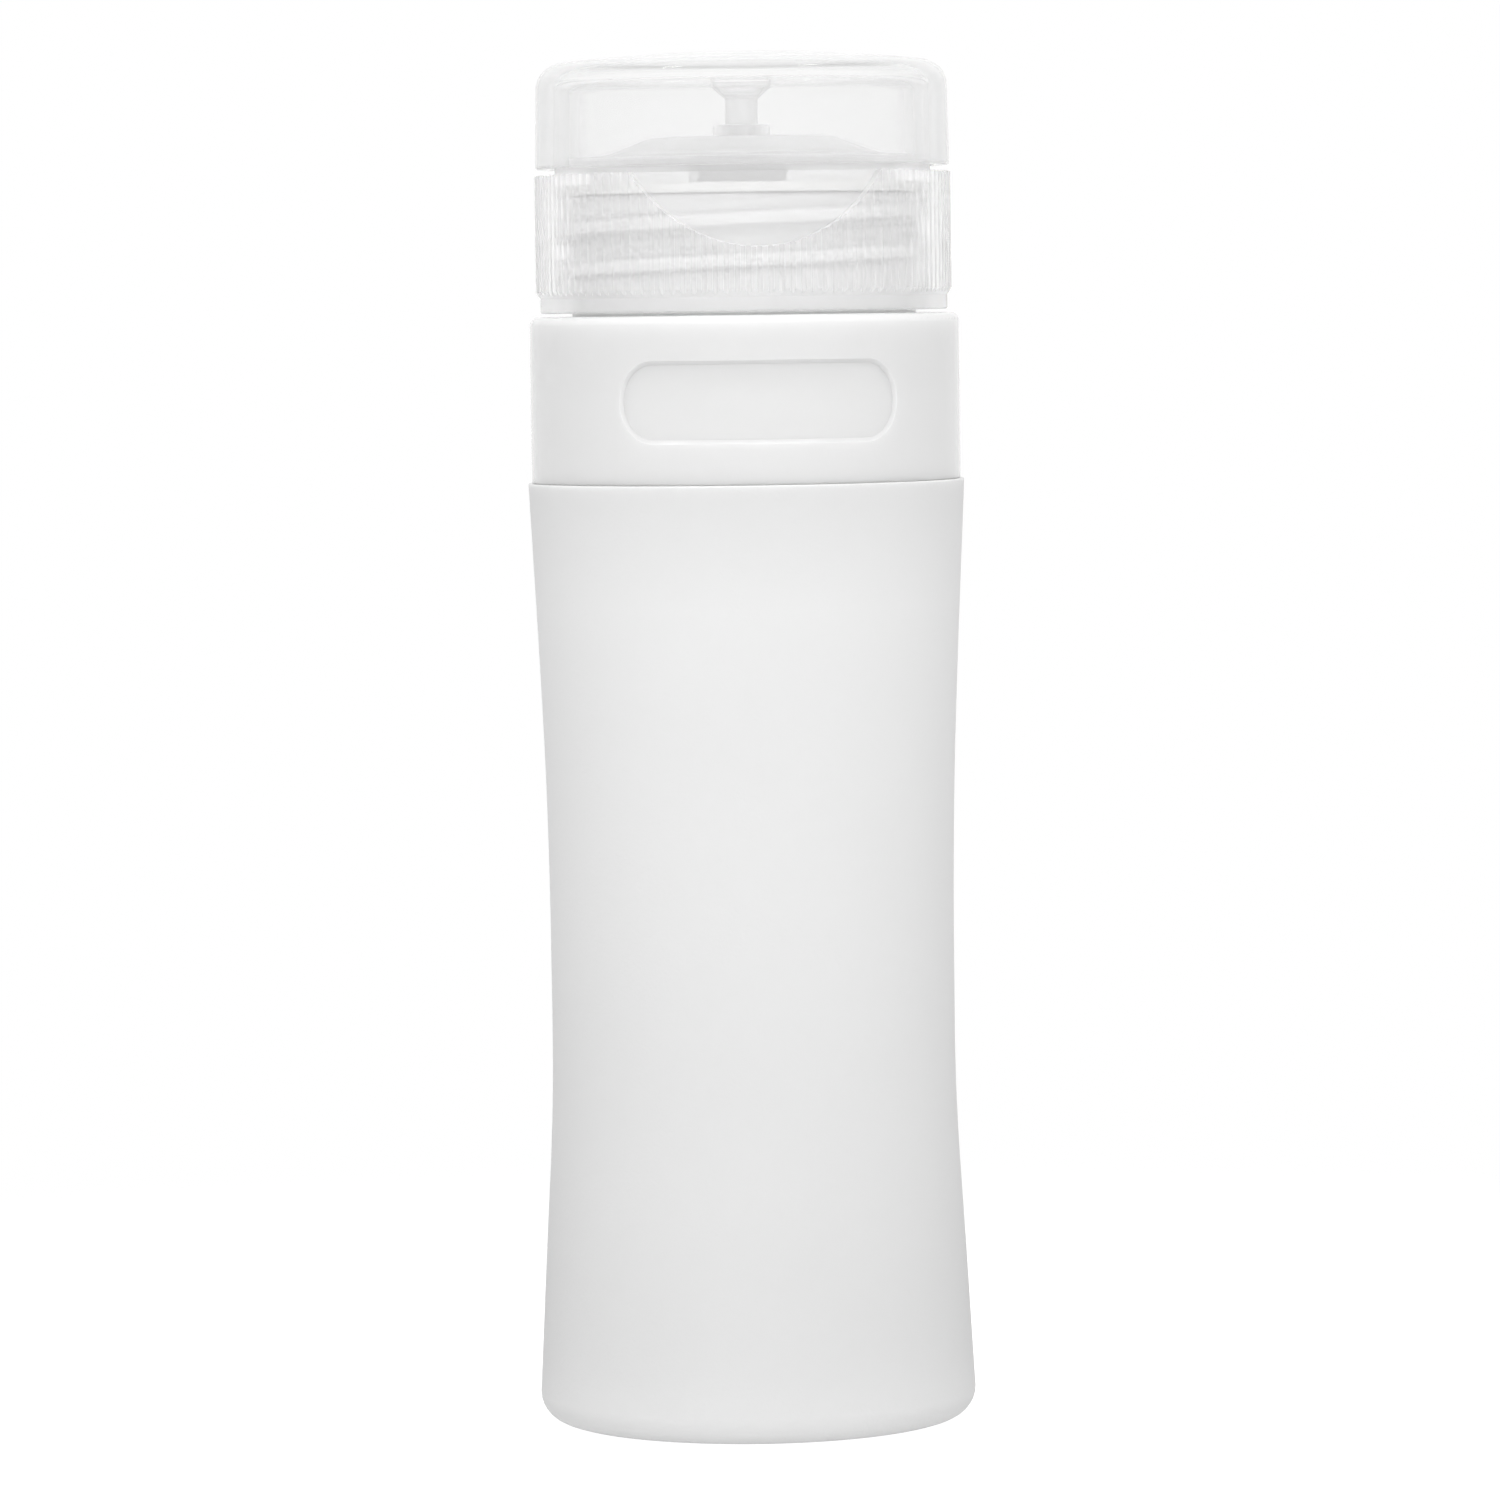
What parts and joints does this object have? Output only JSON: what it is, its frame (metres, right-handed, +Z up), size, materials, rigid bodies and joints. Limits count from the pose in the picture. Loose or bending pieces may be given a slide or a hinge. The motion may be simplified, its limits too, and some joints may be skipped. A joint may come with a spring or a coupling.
{
  "type": "travel silicone bottle",
  "caption": "Squeezable waisted silicone travel bottle with a rigid collar, a ribbed screw cap and a flip lid that plugs the spout.",
  "frame": {"origin": "middle of the foot, on the surface the bottle stands on", "axes": "+Z up along the bottle's axis, -Y towards the thumb scoop and the label recess, +Y towards the lid's hinge"},
  "size_m": [0.043, 0.043, 0.1347],
  "materials": {
    "frosted_silicone": "frosted",
    "white_plastic": "gloss",
    "natural_plastic": "satin",
    "milky_plastic": "satin",
    "clear_plastic": "gloss",
    "white_silicone": "satin"
  },
  "bodies": {
    "bottle": {"silicone_bottle": "frosted_silicone", "neck_insert": "natural_plastic", "collar_shell": "white_plastic"},
    "cap_seal": {"cap_gasket": "white_silicone"},
    "cap": {"screw_cap": "milky_plastic", "spout_valve": "white_silicone", "valve_retainer": "natural_plastic", "hinge_strap": "clear_plastic"},
    "lid": {"flip_lid": "clear_plastic"}
  },
  "joints": [
    {"name": "cap_rise", "type": "slide", "parent": "bottle", "child": "cap_seal", "axis": [0, 0, 1], "range_m": [0, 0.00801]},
    {"name": "cap_turn", "type": "hinge", "parent": "cap_seal", "child": "cap", "pos_m": [0, 0, 0.1225], "axis": [0, 0, 1], "range_deg": [0, 720]},
    {"name": "lid_flip", "type": "hinge", "parent": "cap", "child": "lid", "pos_m": [0, 0.02003, 0.1231], "axis": [-1, 0, 0], "range_deg": [0, 150], "deforming": ["hinge_strap"]}
  ],
  "couplings": [
    {"joint": "cap_rise", "follows": "cap_turn", "m_per_rad": 0.00063662}
  ]
}
